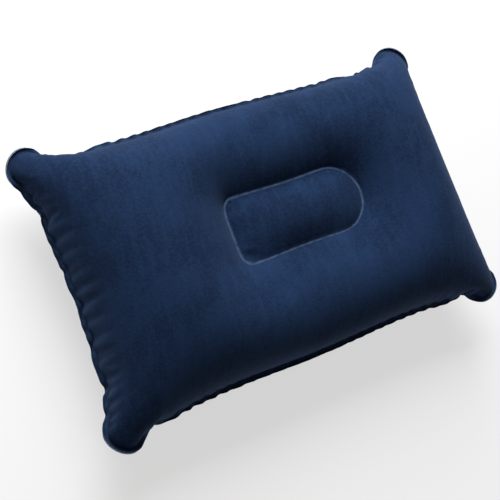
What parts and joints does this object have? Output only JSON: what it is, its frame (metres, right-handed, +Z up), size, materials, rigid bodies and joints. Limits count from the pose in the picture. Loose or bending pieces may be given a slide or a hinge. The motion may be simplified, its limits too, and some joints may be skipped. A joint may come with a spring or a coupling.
{
  "type": "camp pillow",
  "caption": "Inflatable rectangular camp pillow: flocked sheets with a welded edge and rounded ears, a D-shaped tie column in the middle and a push-in mouth valve with a captive plug.",
  "frame": {"origin": "middle of the pillow's outline, on the surface it lies on", "axes": "+X along the pillow, towards the end with the valve; +Y across it; +Z up"},
  "size_m": [0.444, 0.286, 0.1131],
  "materials": {
    "flocked_sheet": "matt, short velvet flock on PVC",
    "tie_film": "smooth satin PVC film",
    "valve_pvc": "soft translucent moulded PVC"
  },
  "bodies": {
    "pillow": {"top_panel": "flocked_sheet", "bottom_panel": "flocked_sheet", "tie_column": "tie_film", "valve_disc": "valve_pvc", "valve_skirt": "valve_pvc"},
    "stem": {"valve_stem": "valve_pvc", "strap_ring": "valve_pvc"},
    "plug": {"valve_plug": "valve_pvc"},
    "flap": {"check_flap": "valve_pvc"}
  },
  "joints": [
    {"name": "valve_pull", "type": "slide", "parent": "pillow", "child": "stem", "axis": [0.7143, -0.0163, -0.6996], "range_m": [0, 0.013], "deforming": ["valve_skirt"]},
    {"name": "plug_flip", "type": "hinge", "parent": "stem", "child": "plug", "pos_m": [0.18138, 0.04225, 0.01877], "axis": [0.6994, -0.0159, 0.7145], "range_deg": [0, 125]},
    {"name": "flap_swing", "type": "hinge", "parent": "stem", "child": "flap", "pos_m": [0.1696, 0.03852, 0.03021], "axis": [-0.6994, 0.0159, -0.7145], "range_deg": [0, 50], "stiffness_Nm_per_rad": 0.0001, "springref_deg": -11.46}
  ]
}
